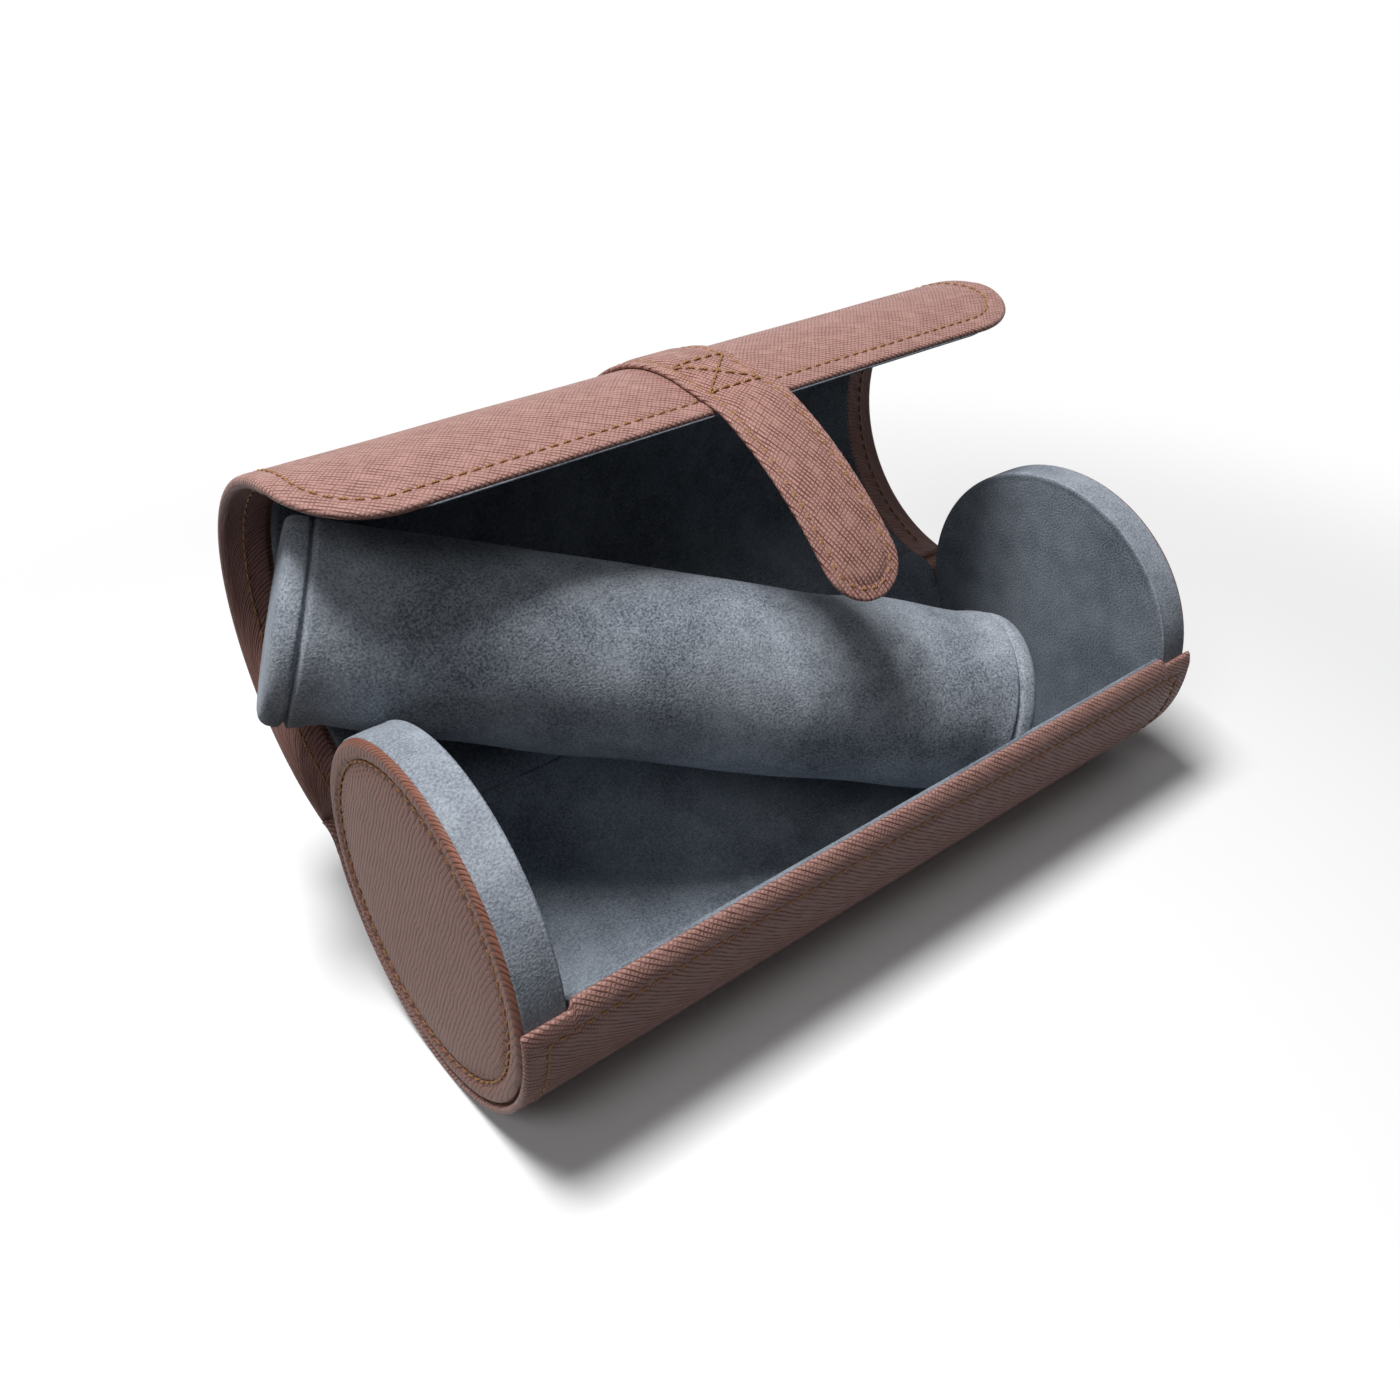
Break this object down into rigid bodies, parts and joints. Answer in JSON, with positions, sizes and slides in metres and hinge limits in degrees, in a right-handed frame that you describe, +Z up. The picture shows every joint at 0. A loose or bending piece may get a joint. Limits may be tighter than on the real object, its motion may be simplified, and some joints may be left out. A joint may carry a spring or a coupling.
{
  "type": "round travel case for watches",
  "caption": "Round leather travel roll for watches: half-cylinder tray with padded end discs, hinged lid with a closing strap, grey suede lining and a loose suede cushion.",
  "frame": {"origin": "on the surface under the middle of the case, on the line where the round tray stands", "axes": "+X along the case to the right as seen from the front, +Y to the hinge at the back, +Z up"},
  "size_m": [0.21, 0.1247, 0.1247],
  "materials": {
    "brown_leather": "cross-grained, matt",
    "strap_leather": "cross-grained, matt",
    "grey_suede": "napped",
    "cushion_suede": "napped",
    "stiffener_board": "plain",
    "padding": "foam",
    "magnet_steel": "plated"
  },
  "bodies": {
    "tray": {"tray_leather": "brown_leather", "tray_board": "stiffener_board", "tray_lining": "grey_suede", "tray_magnet": "magnet_steel", "left_end_leather": "brown_leather", "left_end_foam": "padding", "left_end_board": "stiffener_board", "left_end_rim_suede": "grey_suede", "left_end_lining": "grey_suede", "right_end_leather": "brown_leather", "right_end_foam": "padding", "right_end_board": "stiffener_board", "right_end_rim_suede": "grey_suede", "right_end_lining": "grey_suede", "hinge_leather": "brown_leather", "hinge_suede": "grey_suede"},
    "lid": {"lid_leather": "brown_leather", "lid_board": "stiffener_board", "lid_lining": "grey_suede", "strap_band": "strap_leather", "strap_band_backing": "strap_leather"},
    "strap_tail": {"strap_tail": "strap_leather", "strap_tail_backing": "strap_leather", "strap_magnet": "magnet_steel"},
    "cushion": {"cushion_core": "padding", "cushion_sleeve": "cushion_suede", "cushion_left_cap": "cushion_suede", "cushion_right_cap": "cushion_suede"}
  },
  "joints": [
    {"name": "lid_hinge", "type": "hinge", "parent": "tray", "child": "lid", "pos_m": [0, 0.04189, 0.03739], "axis": [-1, 0, 0], "range_deg": [-80, 0], "deforming": ["hinge_leather", "hinge_suede", "cushion_core", "cushion_sleeve", "cushion_left_cap", "cushion_right_cap"]},
    {"name": "strap_bend", "type": "hinge", "parent": "lid", "child": "strap_tail", "pos_m": [0.002, 0.0045, 0.1142], "axis": [-1, 0, 0], "range_deg": [-33, 60], "deforming": ["strap_tail", "strap_tail_backing", "strap_magnet"]},
    {"name": "cushion_slide", "type": "slide", "parent": "tray", "child": "cushion", "axis": [-0.8689, 0.3853, 0.3107], "range_m": [0, 0.12]}
  ]
}
